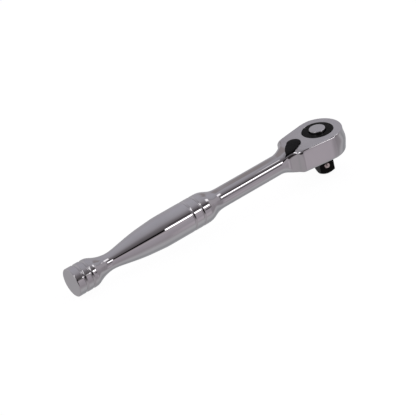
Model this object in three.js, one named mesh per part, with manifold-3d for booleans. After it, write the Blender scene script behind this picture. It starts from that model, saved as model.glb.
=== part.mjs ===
// Quick-release ratchet wrench, 3/8 inch square drive, 200.6 mm long, with a pear-shaped head.
// Millimetres, +Z up. The drive axis is the Z axis and the tip of the drive square is at z = 0.
// The handle runs along -X, and the reversing lever and the release button are on the top of the head.
import * as THREE from "three";
import { mergeVertices } from "three/addons/utils/BufferGeometryUtils.js";
import Module from "manifold-3d";

const wasm = await Module();
wasm.setup();

// ---------------------------------------------------------------- driving dimensions
const AXIS_Z = 21.2; // height of the handle's axis over the drive tip
const HEAD_HALF = 7.5; // half of the head's thickness
const HEAD_TOP = AXIS_Z + HEAD_HALF;
const HEAD_BOTTOM = AXIS_Z - HEAD_HALF;
const HEAD_R = 15.46; // radius of the head's round nose
const HEAD_EDGE = 1.4; // rounding of the head's top edge along its sides
const LOW_EDGE = 1.4; // rounding of its bottom edge
const NOSE_EDGE = 1.0; // and round the nose
const CROWN = 0.28; // how far the head's sides draw in at their top and bottom
const NOSE_SWELL = 0.6; // how far the nose swells out at mid height
const SWELL_UP = 5.8; // heights above and below the middle at which that swelling ends
const SWELL_DOWN = 7.2;
const SHOULDER_X = -23.48; // where the head's straight side meets the neck's hollow
const SHOULDER_W = 11.7; // half width of the head at that corner
const NECK_R = 6.6; // radius of the neck's hollow in plan
const NECK_X = -30; // where that hollow runs out into the shank
const SHANK_R = 6.15;
const CORNER = 2.2; // the corner between side and hollow is eased over this length each way
const TAIL_X = -184.54;
const TAIL_R = 8.7;

const SQUARE_HALF = 4.76; // 3/8 inch across flats
const SQUARE_TURN = (-14.4 * Math.PI) / 180; // how the square stands about the drive axis at rest
const SQUARE_TOP = 11; // the face where a socket bears
const BOSS_R = 8.1;
const GEAR_TEETH = 36;
const GEAR_TIP_R = 11.3;
const GEAR_ROOT_R = 10.2;
const GEAR_LOW = 18.9;
const GEAR_HIGH = 25.8;
const GEAR_TOP = 28.45; // the black disc that shows in the head's top
const GEAR_TOP_R = 9.7;
const TOP_HOLE_R = 9.85;
const GEAR_BORE_R = 11.75;

const BUTTON_R = 5.05;
const BUTTON_TOP = 30.2;
const BUTTON_STROKE = 1.7;
const WELL_R = 5.3; // the well in the gear that the button and its spring work in
const WELL_FLOOR = 21.0;
const STEM_R = 1.9;
const STEM_BORE_R = 2.0;
const STEM_LOW = 4.2;
const BALL_R = 1.985; // 5/32 inch
const BALL_OUT = 3.95; // the ball's centre from the drive axis
const BALL_TRAVEL = 1.1;
const BALL_Z = 5.7;

const LEVER_X = -18.9;
const LEVER_TURN = (34 * Math.PI) / 180; // the lever's tip is this far from -X, towards -Y
const LEVER_HUB_R = 4.45;
const LEVER_LOW = HEAD_TOP + 0.08;
const LEVER_HIGH = HEAD_TOP + 0.9;
const LEVER_SHAFT_R = 2.3;

const PAWL_X = -14.1; // the pawl's pivot
const PAWL_ROCK = (7.8 * Math.PI) / 180; // each way from the middle
const PAWL_PIN_R = 1.0;
const PAWL_LOW = 19.1;
const PAWL_HIGH = 25.2;
const POCKET_LOW = 18.9;
const POCKET_HIGH = 25.4;
const PLUNGER_REACH = 2.8; // the plunger's tip from the lever's axis
const PLUNGER_R = 0.8;
const PLUNGER_Z = 22.2;

const GROOVE_R = 12.4; // snap ring groove in the gear bore
const GROOVE_LOW = 15.5;
const GROOVE_HIGH = 16.8;

// ---------------------------------------------------------------- solids
function clean(geometry) {
  const g = geometry.index ? geometry.toNonIndexed() : geometry;
  const bare = new THREE.BufferGeometry().setAttribute("position", g.getAttribute("position"));
  const m = mergeVertices(bare, 1e-4);
  const index = [];
  const a = m.index.array;
  for (let i = 0; i < a.length; i += 3)
    if (a[i] !== a[i + 1] && a[i + 1] !== a[i + 2] && a[i] !== a[i + 2]) index.push(a[i], a[i + 1], a[i + 2]);
  m.setIndex(index);
  return m;
}
function solid(geometry) {
  const m = clean(geometry);
  const p = m.attributes.position.array;
  const t = new Uint32Array(m.index.array);
  let volume = 0;
  for (let i = 0; i < t.length; i += 3) {
    const [a, b, c] = [t[i] * 3, t[i + 1] * 3, t[i + 2] * 3];
    volume +=
      p[a] * (p[b + 1] * p[c + 2] - p[b + 2] * p[c + 1]) +
      p[a + 1] * (p[b + 2] * p[c] - p[b] * p[c + 2]) +
      p[a + 2] * (p[b] * p[c + 1] - p[b + 1] * p[c]);
  }
  if (volume < 0) for (let i = 0; i < t.length; i += 3) [t[i + 1], t[i + 2]] = [t[i + 2], t[i + 1]];
  return new wasm.Manifold(new wasm.Mesh({ numProp: 3, vertProperties: new Float32Array(p), triVerts: t }));
}
function geometryOf(manifold) {
  const m = manifold.getMesh();
  const v = new Float32Array(m.numVert * 3);
  for (let i = 0; i < m.numVert; i++) v.set(m.vertProperties.subarray(i * m.numProp, i * m.numProp + 3), i * 3);
  const g = new THREE.BufferGeometry();
  g.setAttribute("position", new THREE.BufferAttribute(v, 3));
  g.setIndex(new THREE.BufferAttribute(new Uint32Array(m.triVerts), 1));
  g.computeVertexNormals();
  return g;
}
// A round solid about a vertical axis, from its closed or axis-to-axis profile of [radius, height].
function turned(profile, segments = 32, x = 0, y = 0) {
  const g = new THREE.LatheGeometry(
    profile.map(([r, z]) => new THREE.Vector2(r, z)),
    segments,
  );
  g.rotateX(Math.PI / 2);
  g.translate(x, y, 0);
  return solid(g);
}
function rod(r, z0, z1, segments = 32, x = 0, y = 0) {
  return turned([[0, z0], [r, z0], [r, z1], [0, z1]], segments, x, y);
}
// An upright prism of a closed outline of [x, y].
function prism(outline, z0, z1, holes = []) {
  const shape = new THREE.Shape(outline.map(([x, y]) => new THREE.Vector2(x, y)));
  for (const h of holes) shape.holes.push(new THREE.Path(h.map(([x, y]) => new THREE.Vector2(x, y))));
  const g = new THREE.ExtrudeGeometry(shape, { depth: z1 - z0, bevelEnabled: false });
  g.translate(0, 0, z0);
  return solid(g);
}
function turnedAbout(points, cx, cy, angle) {
  const c = Math.cos(angle);
  const s = Math.sin(angle);
  return points.map(([x, y]) => [cx + (x - cx) * c - (y - cy) * s, cy + (x - cx) * s + (y - cy) * c]);
}
function arc(cx, cy, r, from, to, n) {
  const out = [];
  for (let i = 0; i <= n; i++) {
    const a = from + ((to - from) * i) / n;
    out.push([cx + r * Math.cos(a), cy + r * Math.sin(a)]);
  }
  return out;
}
class Helix extends THREE.Curve {
  constructor(radius, low, high, turns) {
    super();
    Object.assign(this, { radius, low, high, turns });
  }
  getPoint(t, target = new THREE.Vector3()) {
    const a = t * this.turns * 2 * Math.PI;
    return target.set(this.radius * Math.cos(a), this.radius * Math.sin(a), this.low + (this.high - this.low) * t);
  }
}
function coil(radius, wire, low, high, turns, stepsPerTurn = 11, sides = 5) {
  const ring = new THREE.Shape(
    Array.from({ length: sides }, (_, i) => {
      const a = (i * 2 * Math.PI) / sides;
      return new THREE.Vector2(wire * Math.cos(a), wire * Math.sin(a));
    }),
  );
  return new THREE.ExtrudeGeometry(ring, {
    steps: Math.round(turns * stepsPerTurn),
    bevelEnabled: false,
    extrudePath: new Helix(radius, low + wire, high - wire, turns),
  });
}

// ---------------------------------------------------------------- the forged body's outer surface
// The head's and neck's outline in plan as [x, half width], from the end of the round nose to the shank.
const PLAN = (() => {
  const run = [SHOULDER_X + 2.58, SHOULDER_W - 15.243];
  const length = Math.hypot(...run);
  const side = (t) => [-2.58 + run[0] * t, 15.243 + run[1] * t];
  const start = Math.acos((SHOULDER_X - NECK_X) / NECK_R);
  const hollow = (a) => [NECK_X + NECK_R * Math.cos(a), SHANK_R + NECK_R - NECK_R * Math.sin(a)];
  const out = [0, 0.26, 0.51, 0.76].map(side);
  const [p, q, r] = [side(1 - CORNER / length), [SHOULDER_X, SHOULDER_W], hollow(start + CORNER / NECK_R)];
  for (let i = 0; i <= 5; i++) {
    const t = i / 5;
    out.push([0, 1].map((k) => (1 - t) ** 2 * p[k] + 2 * t * (1 - t) * q[k] + t * t * r[k]));
  }
  for (let i = 1; i <= 7; i++) out.push(hollow(start + CORNER / NECK_R + ((Math.PI / 2 - start - CORNER / NECK_R) * i) / 7));
  out.push([-31.5, SHANK_R], [-32.8, SHANK_R], [-34, SHANK_R]);
  return out;
})();
// How deep a point of the plan lies inside that outline.
function depth(x, y) {
  let least = Infinity;
  for (let i = 0; i + 1 < PLAN.length; i++) {
    const [[ax, ay], [bx, by]] = [PLAN[i], PLAN[i + 1]];
    const [dx, dy] = [bx - ax, by - ay];
    const t = Math.min(Math.max(((x - ax) * dx + (y - ay) * dy) / (dx * dx + dy * dy), 0), 1);
    least = Math.min(least, Math.hypot(x - ax - t * dx, y - ay - t * dy));
  }
  return least;
}
const table = (rows, x) => {
  if (x >= rows[0][0]) return rows[0].slice(1);
  for (let i = 1; i < rows.length; i++)
    if (x >= rows[i][0]) {
      const t = (x - rows[i - 1][0]) / (rows[i][0] - rows[i - 1][0]);
      return rows[i].slice(1).map((v, k) => rows[i - 1][k + 1] + t * (v - rows[i - 1][k + 1]));
    }
  return rows.at(-1).slice(1);
};
// Down the neck: [x, half height, top edge rounding, bottom edge rounding], from the head's slab to the round shank.
const NECK = [
  [-18.9, HEAD_HALF, HEAD_EDGE, LOW_EDGE],
  [-20.0, HEAD_HALF, 1.57, LOW_EDGE],
  [-21.2, HEAD_HALF, 2.04, LOW_EDGE],
  [-22.3, HEAD_HALF, 2.42, LOW_EDGE],
  [-23.4, HEAD_HALF, 2.6, LOW_EDGE],
  [-24.3, 7.49, 2.9, 1.55],
  [-25.2, 7.47, 3.2, 1.7],
  [-26.6, 7.33, 3.6, 2.3],
  [-28.0, 7.05, 4.1, 3.2],
  [-29.5, 6.7, 4.7, 4.3],
  [-31.5, 6.33, 5.5, 5.5],
  [-34.0, SHANK_R, SHANK_R, SHANK_R],
];
// The turned handle: [x, radius].
const HANDLE = [
  [-34.0, 6.15], [-76.5, 6.15], [-79.0, 6.2], [-81.0, 6.36], [-83.0, 6.74], [-84.8, 7.38], [-86.5, 8.12],
  [-88.0, 8.75], [-89.5, 9.22], [-91.5, 9.44], [-95.2, 9.52], [-96.0, 9.0], [-96.8, 9.46], [-101.9, 9.44],
  [-102.6, 8.95], [-103.3, 9.4], [-108.0, 9.49], [-118.5, 9.48], [-122.5, 9.42], [-126.5, 9.13], [-130.5, 8.8],
  [-134.5, 8.46], [-138.5, 7.97], [-142.5, 7.38], [-146.5, 6.68], [-150.5, 5.98], [-153.5, 5.44], [-156.5, 5.08], [-158.5, 5.0],
  [-161.5, 5.3], [-164.0, 5.82], [-166.5, 6.63], [-168.5, 7.51], [-170.0, 8.22], [-170.9, 8.6], [-173.9, 8.68], [-174.5, 8.05],
  [-175.1, 8.68], [-178.4, 8.7], [-179.2, 7.95], [-180.0, 8.7], [-183.95, TAIL_R], [TAIL_X, TAIL_R - 0.59],
];
const [FLAT_N, ARC_N, SIDE_N] = [2, 2, 2];
const eased = (t) => Math.min(Math.max(t, 0), 1) ** 2 * (3 - 2 * Math.min(Math.max(t, 0), 1));
// A quarter of a rounded section, from the top's middle to the side's middle, as [lateral, height].
// lateral(d) is where the section lies d inside the outline.
function quarter(w, h, c, round, crown, [k, end], lateral) {
  const b0 = (round * 30 * Math.PI) / 180;
  const b1 = Math.PI / 2 - (round * 30 * Math.PI) / 180;
  const onArc = (b) => [lateral(c * (1 - Math.sin(b))), h - c + c * Math.cos(b)];
  const out = [];
  const flat = lateral(c);
  const topLength = flat + c * b0;
  for (let i = 0; i <= FLAT_N; i++) {
    const s = (topLength * i) / FLAT_N;
    out.push(s <= flat ? [s, h] : onArc((s - flat) / c));
  }
  for (let i = 1; i <= ARC_N; i++) out.push(onArc(b0 + ((b1 - b0) * i) / ARC_N));
  const rest = Math.PI / 2 - b1;
  const sideLength = c * rest + (h - c);
  for (let i = 1; i <= SIDE_N; i++) {
    const s = (sideLength * i) / SIDE_N;
    out.push(s < c * rest ? onArc(b1 + s / c) : [w, h - c - (s - c * rest)]);
  }
  const shift = (z) => k * (NOSE_SWELL - (NOSE_SWELL + crown) * eased(z / end)) - (1 - k) * crown * (z / h) ** 2;
  return out.map(([s, z]) => [s + shift(z) * Math.min(s / w, 1) ** 4, z]);
}
function fullSection(w, h, top, low, round, crown = 0, k = 0, lateral = (d) => w - d) {
  const fit = (c) => Math.min(c, w, h);
  const up = quarter(w, h, fit(top), round, crown, [k, SWELL_UP], lateral);
  const down = quarter(w, h, fit(low), round, crown, [k, SWELL_DOWN], lateral);
  return { half: up.concat(down.slice(0, -1).reverse().map(([s, z]) => [s, -z])) }; // from the top's middle round to the bottom's
}
function bodySurface() {
  const rings = []; // each ring: points in order round the section
  const ring = (section, plus, minus) =>
    rings.push([
      ...section.half.map(([s, z]) => plus(s, z)),
      ...section.half.slice(1, -1).reverse().map(([s, z]) => minus(s, z)),
    ]);
  const NOSE_N = 10;
  for (let i = 0; i <= NOSE_N; i++) {
    const a = (Math.PI / 2) * (1 - i / NOSE_N);
    const k = eased(a / (50 * (Math.PI / 180)));
    ring(
      fullSection(HEAD_R, HEAD_HALF, HEAD_EDGE + (NOSE_EDGE - HEAD_EDGE) * eased(a / (20 * (Math.PI / 180))), LOW_EDGE, 0, CROWN, k),
      (s, z) => [s * Math.sin(a), s * Math.cos(a), z],
      (s, z) => [s * Math.sin(a), -s * Math.cos(a), z],
    );
  }
  for (const [x, w] of PLAN.slice(0, -1)) {
    const [h, top, low] = table(NECK, x);
    const round = Math.min(Math.max((low - LOW_EDGE) / (SHANK_R - LOW_EDGE), 0), 1);
    let lateral;
    if (x < SHOULDER_X + 3 && x > NECK_X + 0.5) {
      const deep = Array.from({ length: 201 }, (_, i) => depth(x, (w * i) / 200));
      for (let i = 1; i <= 200; i++) deep[i] = Math.min(deep[i], deep[i - 1]);
      lateral = (d) => {
        let i = 200;
        while (i > 0 && deep[i] < d) i--;
        const t = i === 200 ? 0 : (deep[i] - d) / Math.max(deep[i] - deep[i + 1], 1e-9);
        return (w * (i + Math.min(Math.max(t, 0), 1))) / 200;
      };
    }
    ring(
      fullSection(w, h, top, low, round, CROWN * (1 - round) ** 2, 0, lateral),
      (s, z) => [x, s, z],
      (s, z) => [x, -s, z],
    );
  }
  for (const [x, r] of HANDLE)
    ring(
      fullSection(r, r, r, r, 1),
      (s, z) => [x, s, z],
      (s, z) => [x, -s, z],
    );
  const n = rings[0].length;
  const tri = [];
  const put = (...points) => points.forEach(([x, y, z]) => tri.push(x, y, z + AXIS_Z));
  for (let j = 0; j + 1 < rings.length; j++)
    for (let i = 0; i < n; i++) {
      const [a, b] = [rings[j][i], rings[j][(i + 1) % n]];
      const [c, d] = [rings[j + 1][i], rings[j + 1][(i + 1) % n]];
      put(a, c, b);
      put(b, c, d);
    }
  const end = rings.at(-1);
  for (let i = 0; i < n; i++) put(end[i], [TAIL_X, 0, 0], end[(i + 1) % n]);
  const g = new THREE.BufferGeometry();
  g.setAttribute("position", new THREE.BufferAttribute(new Float32Array(tri), 3));
  return g;
}

// ---------------------------------------------------------------- plan shapes of the mechanism
// The lever's outline about its own axis, tip along +u: [u, half width].
const LEVER_SHAPE = [
  [2.0, 4.05], [3.6, 4.02], [5.0, 3.86], [6.75, 3.5], [8.4, 3.08], [10.2, 2.45], [11.7, 1.82], [12.9, 1.22], [13.7, 0.66], [14.05, 0],
];
function leverOutline(grow = 0) {
  const hub = LEVER_HUB_R + grow;
  const side = LEVER_SHAPE.map(([u, v]) => [u + (v === 0 ? grow : 0), v + (v === 0 ? 0 : grow)]);
  const back = arc(0, 0, hub, Math.PI * 0.36, Math.PI * 1.64, 20);
  return [...back, ...side.map(([u, v]) => [u, -v]), ...side.slice(0, -1).reverse().map(([u, v]) => [u, v])];
}
const leverPlan = (points) => turnedAbout(points, 0, 0, Math.PI + LEVER_TURN).map(([x, y]) => [x + LEVER_X, y]);

// The gear's toothed ring: straight-sided teeth, one standing on the -X axis.
function gearOutline(tip, root) {
  const out = [];
  const step = (2 * Math.PI) / GEAR_TEETH;
  for (let i = 0; i < GEAR_TEETH; i++) {
    const a = Math.PI + i * step;
    for (const [r, t] of [[root, -4], [tip, -1], [tip, 1], [root, 4]])
      out.push([r * Math.cos(a + (t * Math.PI) / 180), r * Math.sin(a + (t * Math.PI) / 180)]);
  }
  return out;
}
const polar = (r, degrees) => [-r * Math.cos((degrees * Math.PI) / 180), r * Math.sin((degrees * Math.PI) / 180)];
// Half of the pawl (its +Y arm) in its middle position: teeth to fit the gear when it is rocked in.
function pawlOutline() {
  const engaged = [
    polar(12.05, 19),
    ...[25, 35].flatMap((a) => [polar(11.55, a - 3.7), polar(10.4, a - 0.55), polar(10.4, a + 0.55), polar(11.55, a + 3.7)]),
    polar(11.6, 41.5),
    polar(14.1, 41.5),
  ];
  const arm = turnedAbout(engaged, PAWL_X, 0, PAWL_ROCK);
  // The back follows the plunger's path as the lever carries it across.
  const tipR = PLUNGER_REACH - PLUNGER_R;
  const path = [];
  for (let i = 0; i <= 8; i++) {
    const u = (1.15 * i) / 8;
    const a = LEVER_TURN * u;
    const [x, y] = [LEVER_X + tipR * Math.cos(a), tipR * Math.sin(a)];
    const r = PAWL_ROCK * u;
    const dx = x - PAWL_X;
    path.push([PAWL_X + dx * Math.cos(r) - y * Math.sin(r), dx * Math.sin(r) + y * Math.cos(r)]);
  }
  const back = path.map(([x, y], i) => {
    const [ax, ay] = path[Math.max(i - 1, 0)];
    const [bx, by] = path[Math.min(i + 1, 8)];
    const l = Math.hypot(bx - ax, by - ay);
    const n = i === 0 ? [1, 0] : [(by - ay) / l, -(bx - ax) / l];
    return [Math.max(x + n[0] * (PLUNGER_R + 0.1), -16.6), y + n[1] * (PLUNGER_R + 0.1)];
  });
  const last = back.at(-1);
  const plus = [[-12.2, 0], polar(12.25, 10), ...arm, [last[0], last[1] + 0.7], ...back.slice().reverse()];
  const minus = plus.slice(1, -1).reverse().map(([x, y]) => [x, -y]);
  return [...plus, ...minus];
}
const POCKET = [
  [-6, 9.6], [-8.4, 10.9], [-13.7, 10.9], [-17.5, 6.6], [-17.5, -6.6], [-13.7, -10.9], [-8.4, -10.9], [-6, -9.6],
];

// ---------------------------------------------------------------- the pieces
const steel = (color, roughness, metalness = 1) => new THREE.MeshStandardMaterial({ color, roughness, metalness });
const CHROME = steel(0xb4b4b8, 0.08);
const BLACK = steel(0x1d1d1c, 0.45, 0.6);
const BRIGHT = steel(0xa9a9ab, 0.2);
const SPRING = steel(0x7d7f83, 0.3);
const RUBBER = steel(0x101010, 0.8, 0);

const root = new THREE.Group();
function piece(name, material, shape, parent = root) {
  const m = new THREE.Mesh(shape.isBufferGeometry ? shape : geometryOf(shape), material);
  m.name = name;
  parent.add(m);
  return m;
}

// Head, shank and grip: one chromed forging, bored from below for the gear.
{
  let body = solid(bodySurface());
  const cut = (s) => (body = body.subtract(s));
  cut(rod(GEAR_BORE_R, HEAD_BOTTOM - 2, GEAR_HIGH + 0.2, 48));
  cut(rod(TOP_HOLE_R, GEAR_HIGH - 1, HEAD_TOP + 2, 48));
  cut(turned([[GEAR_BORE_R - 0.6, GROOVE_LOW], [GROOVE_R, GROOVE_LOW], [GROOVE_R, GROOVE_HIGH], [GEAR_BORE_R - 0.6, GROOVE_HIGH], [GEAR_BORE_R - 0.6, GROOVE_LOW]], 48));
  cut(prism(POCKET, POCKET_LOW, POCKET_HIGH));
  cut(rod(3.15, POCKET_LOW, POCKET_HIGH, 32, LEVER_X));
  cut(rod(LEVER_SHAFT_R + 0.08, HEAD_BOTTOM - 2, HEAD_TOP + 2, 32, LEVER_X));
  cut(rod(4.1, HEAD_BOTTOM - 2, 15.6, 32, LEVER_X));
  cut(rod(PAWL_PIN_R + 0.03, HEAD_BOTTOM - 2, 26.9, 24, PAWL_X));
  piece("forged_body", CHROME, body);
}

// The drive: gear, boss and square in one piece, with the well, the stem's bore and the ball's cross hole.
const drive = new THREE.Group();
root.add(drive);
{
  let gear = prism(gearOutline(GEAR_TIP_R, GEAR_ROOT_R), GEAR_LOW, GEAR_HIGH);
  gear = gear.add(
    turned([[0, GEAR_HIGH - 1], [GEAR_TOP_R, GEAR_HIGH - 1], [GEAR_TOP_R, 26.95], [8.8, 26.95], [8.8, 27.95], [GEAR_TOP_R, 27.95], [GEAR_TOP_R, GEAR_TOP], [0, GEAR_TOP]], 48),
  );
  gear = gear.add(turned([[0, SQUARE_TOP], [BOSS_R - 0.4, SQUARE_TOP], [BOSS_R, SQUARE_TOP + 0.4], [BOSS_R, GEAR_LOW + 1], [0, GEAR_LOW + 1]], 48));
  const h = SQUARE_HALF;
  const r = 0.45;
  const corner = [[h - r, h - r, 0], [-(h - r), h - r, 90], [-(h - r), -(h - r), 180], [h - r, -(h - r), 270]];
  const square = corner.flatMap(([x, y, a]) => arc(x, y, r, (a * Math.PI) / 180, ((a + 90) * Math.PI) / 180, 3));
  let stub = prism(turnedAbout(square, 0, 0, SQUARE_TURN), 0, SQUARE_TOP + 1);
  // The tip is turned to a cone that takes the corners off.
  stub = stub.intersect(turned([[0, 0], [4.1, 0], [7.6, 2.3], [7.6, SQUARE_TOP + 2], [0, SQUARE_TOP + 2]], 48));
  gear = gear.add(stub);
  gear = gear.subtract(turned([[0, WELL_FLOOR], [WELL_R, WELL_FLOOR], [WELL_R, GEAR_TOP + 1], [0, GEAR_TOP + 1]], 48));
  gear = gear.subtract(rod(STEM_BORE_R, 2.2, WELL_FLOOR + 1, 32));
  const hole = new THREE.CylinderGeometry(BALL_R + 0.055, BALL_R + 0.055, 8, 32);
  hole.translate(0, -4, 0); // along -Y from the drive axis
  hole.rotateZ(SQUARE_TURN);
  hole.translate(0, 0, BALL_Z);
  gear = gear.subtract(solid(hole));
  piece("drive_gear", BLACK, gear, drive);
}
const outward = [Math.sin(SQUARE_TURN), -Math.cos(SQUARE_TURN)];
{
  const ball = new THREE.IcosahedronGeometry(BALL_R, 3);
  const m = piece("detent_ball", BRIGHT, ball, drive);
  m.position.set(outward[0] * BALL_OUT, outward[1] * BALL_OUT, BALL_Z);
}
// The button: a chromed cap pressed on a stem whose waist lets the ball drop in.
piece(
  "release_button_cap",
  CHROME,
  turned([[0, 28.0], [1.3, 28.0], [1.3, 26.2], [BUTTON_R, 26.2], [BUTTON_R, BUTTON_TOP - 0.45], [BUTTON_R - 0.45, BUTTON_TOP], [0, BUTTON_TOP]], 40),
  drive,
);
{
  const [gx, gz, gr] = [BALL_OUT - BALL_TRAVEL, BALL_Z + BUTTON_STROKE, BALL_R + 0.065];
  const waist = [];
  for (let a = 213; a >= 118; a -= 16) {
    const p = [gx + gr * Math.cos((a * Math.PI) / 180), gz + gr * Math.sin((a * Math.PI) / 180) * 1];
    if (p[0] < STEM_R) waist.push(p);
  }
  piece(
    "release_stem",
    BRIGHT,
    turned([[0, STEM_LOW], [STEM_R - 0.3, STEM_LOW], [STEM_R, STEM_LOW + 0.3], [STEM_R, 5.08], ...waist, [STEM_R, gz + Math.sqrt(gr * gr - (gx - STEM_R) ** 2)], [STEM_R, 26.15], [1.25, 26.15], [1.25, 27.9], [0, 27.9]], 24),
    drive,
  );
}
piece("release_spring", SPRING, solid(coil(3.4, 0.3, WELL_FLOOR + 0.06, 26.14, 5)), drive);
// An O-ring in the gear's top groove keeps dirt out.
piece("gear_o_ring", RUBBER, turned(arc(9.3, 27.45, 0.46, 0, 2 * Math.PI, 6), 36), drive);

// What holds the gear in from below: a wave washer, a flat cover washer and a snap ring.
{
  const wave = new THREE.RingGeometry(8.45, 10.9, 48, 1);
  const p = wave.attributes.position;
  const z = (x, y) => 18.5 + 0.14 * Math.cos(3 * Math.atan2(y, x));
  const tri = [];
  const at = (i, dz) => [p.getX(i), p.getY(i), z(p.getX(i), p.getY(i)) + dz];
  const idx = wave.index.array;
  for (let i = 0; i < idx.length; i += 3) {
    tri.push(...at(idx[i], 0.16), ...at(idx[i + 1], 0.16), ...at(idx[i + 2], 0.16));
    tri.push(...at(idx[i], -0.16), ...at(idx[i + 2], -0.16), ...at(idx[i + 1], -0.16));
  }
  const n = 48;
  for (const [base, flip] of [[0, true], [n + 1, false]])
    for (let i = 0; i < n; i++) {
      const [a, b] = flip ? [base + i, base + i + 1] : [base + i + 1, base + i];
      tri.push(...at(a, 0.16), ...at(b, 0.16), ...at(a, -0.16));
      tri.push(...at(b, 0.16), ...at(b, -0.16), ...at(a, -0.16));
    }
  const g = new THREE.BufferGeometry();
  g.setAttribute("position", new THREE.BufferAttribute(new Float32Array(tri), 3));
  piece("wave_washer", SPRING, solid(g));
}
piece("cover_washer", BRIGHT, turned([[8.3, 16.95], [11.6, 16.95], [11.6, 18.1], [8.3, 18.1], [8.3, 16.95]], 48));
{
  // A circlip with two lugs at its gap.
  const a0 = (14 * Math.PI) / 180;
  const outer = arc(0, 0, 12.25, a0, 2 * Math.PI - a0, 44);
  const inner = arc(0, 0, 10.5, 2 * Math.PI - a0 * 1.9, a0 * 1.9, 40);
  const lug = (s) => [[9.0, 4.1], [8.5, 2.9], [9.3, 2.2]].map(([x, y]) => [x, s * y]);
  let ring = prism([...outer, ...lug(-1).reverse(), ...inner, ...lug(1)], 15.65, 16.7);
  for (const s of [-1, 1]) ring = ring.subtract(rod(0.45, 15, 18, 12, 9.55, s * 3.2));
  piece("snap_ring", BRIGHT, ring);
}

// The reversing lever: leaf-shaped blade on a shaft that is cross-bored for the plunger.
const lever = new THREE.Group();
root.add(lever);
const plungerDir = LEVER_TURN; // opposite the blade's tip
const alongPlunger = (geometry, z) => {
  // from the geometry's own +Z to the plunger's direction
  geometry.rotateY(Math.PI / 2);
  geometry.rotateZ(plungerDir);
  geometry.translate(LEVER_X, 0, z);
  return geometry;
};
{
  let l = prism(leverPlan(leverOutline()), LEVER_LOW, LEVER_HIGH);
  l = l.add(
    turned([[0, 14.1], [LEVER_SHAFT_R - 0.2, 14.1], [LEVER_SHAFT_R, 14.3], [LEVER_SHAFT_R, 14.9], [1.8, 14.9], [1.8, 15.5], [LEVER_SHAFT_R, 15.5], [LEVER_SHAFT_R, 26.9], [1.65, 26.9], [1.65, 27.75], [LEVER_SHAFT_R, 27.75], [LEVER_SHAFT_R, LEVER_LOW + 0.4], [0, LEVER_LOW + 0.4]], 32, LEVER_X),
  );
  const bore = new THREE.CylinderGeometry(PLUNGER_R + 0.08, PLUNGER_R + 0.08, 6, 24);
  bore.rotateX(Math.PI / 2);
  bore.translate(0, 0, 3 - 1.7);
  l = l.subtract(solid(alongPlunger(bore, PLUNGER_Z)));
  piece("reverse_lever", BLACK, l, lever);
}
{
  const g = new THREE.LatheGeometry(
    [[0, 0.35], [PLUNGER_R, 0.35], [PLUNGER_R, 2.25], [0.62, 2.55], [0.34, 2.74], [0, PLUNGER_REACH]].map(([r, y]) => new THREE.Vector2(r, y)),
    20,
  );
  g.rotateX(Math.PI / 2);
  piece("lever_plunger", BRIGHT, solid(alongPlunger(g, PLUNGER_Z)), lever);
}
piece("plunger_spring", SPRING, solid(alongPlunger(coil(0.52, 0.13, -1.66, 0.3, 4, 8), PLUNGER_Z)), lever);
piece("lever_o_ring", RUBBER, turned(arc(2.02, 27.32, 0.33, 0, 2 * Math.PI, 6), 24, LEVER_X), lever);
{
  // An open retaining ring in the shaft's lower groove, in its own recess under the head.
  const a0 = (26 * Math.PI) / 180;
  const ring = [...arc(0, 0, 3.6, a0, 2 * Math.PI - a0, 22), ...arc(0, 0, 1.86, 2 * Math.PI - a0 * 1.3, a0 * 1.3, 20)];
  piece("lever_retaining_ring", BRIGHT, prism(turnedAbout(ring, 0, 0, Math.PI + LEVER_TURN).map(([x, y]) => [x + LEVER_X, y]), 14.95, 15.45), lever);
}

// The pawl rocks on a pin between the gear and the lever.
{
  const middle = pawlOutline();
  let pawl = prism(turnedAbout(middle, PAWL_X, 0, -PAWL_ROCK), PAWL_LOW, PAWL_HIGH);
  pawl = pawl.subtract(rod(PAWL_PIN_R + 0.06, PAWL_LOW - 1, PAWL_HIGH + 1, 24, PAWL_X));
  piece("pawl", BRIGHT, pawl);
}
piece("pawl_pin", BRIGHT, turned([[0, 13.9], [PAWL_PIN_R - 0.15, 13.9], [PAWL_PIN_R, 14.05], [PAWL_PIN_R, 26.6], [PAWL_PIN_R - 0.2, 26.8], [0, 26.8]], 24, PAWL_X));

export default root;
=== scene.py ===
# Looks for the ratchet wrench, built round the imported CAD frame.
# Shapes below are in millimetres and are scaled to metres when an object is made.
import math

import bmesh
import bpy
import numpy as np
from mathutils import Matrix, Vector


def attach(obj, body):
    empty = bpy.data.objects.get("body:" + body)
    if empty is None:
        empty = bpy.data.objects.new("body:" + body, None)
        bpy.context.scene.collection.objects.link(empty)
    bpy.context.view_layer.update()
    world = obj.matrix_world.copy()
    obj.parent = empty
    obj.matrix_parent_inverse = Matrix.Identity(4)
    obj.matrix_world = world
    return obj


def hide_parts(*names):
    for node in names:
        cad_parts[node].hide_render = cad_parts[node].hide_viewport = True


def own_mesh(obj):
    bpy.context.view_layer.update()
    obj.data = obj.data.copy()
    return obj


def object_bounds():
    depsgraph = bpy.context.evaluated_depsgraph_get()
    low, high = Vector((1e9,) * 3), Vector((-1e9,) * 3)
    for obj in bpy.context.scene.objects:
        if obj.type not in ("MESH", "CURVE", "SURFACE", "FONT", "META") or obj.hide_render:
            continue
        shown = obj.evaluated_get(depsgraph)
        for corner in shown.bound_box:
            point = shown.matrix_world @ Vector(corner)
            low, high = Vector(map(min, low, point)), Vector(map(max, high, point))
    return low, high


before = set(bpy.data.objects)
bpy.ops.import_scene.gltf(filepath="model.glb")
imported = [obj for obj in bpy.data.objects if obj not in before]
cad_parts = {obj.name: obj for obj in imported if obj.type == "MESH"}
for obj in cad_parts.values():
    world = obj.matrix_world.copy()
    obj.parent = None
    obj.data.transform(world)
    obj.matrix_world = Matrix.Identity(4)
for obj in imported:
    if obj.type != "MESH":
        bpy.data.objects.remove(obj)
CAD_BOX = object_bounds()
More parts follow.
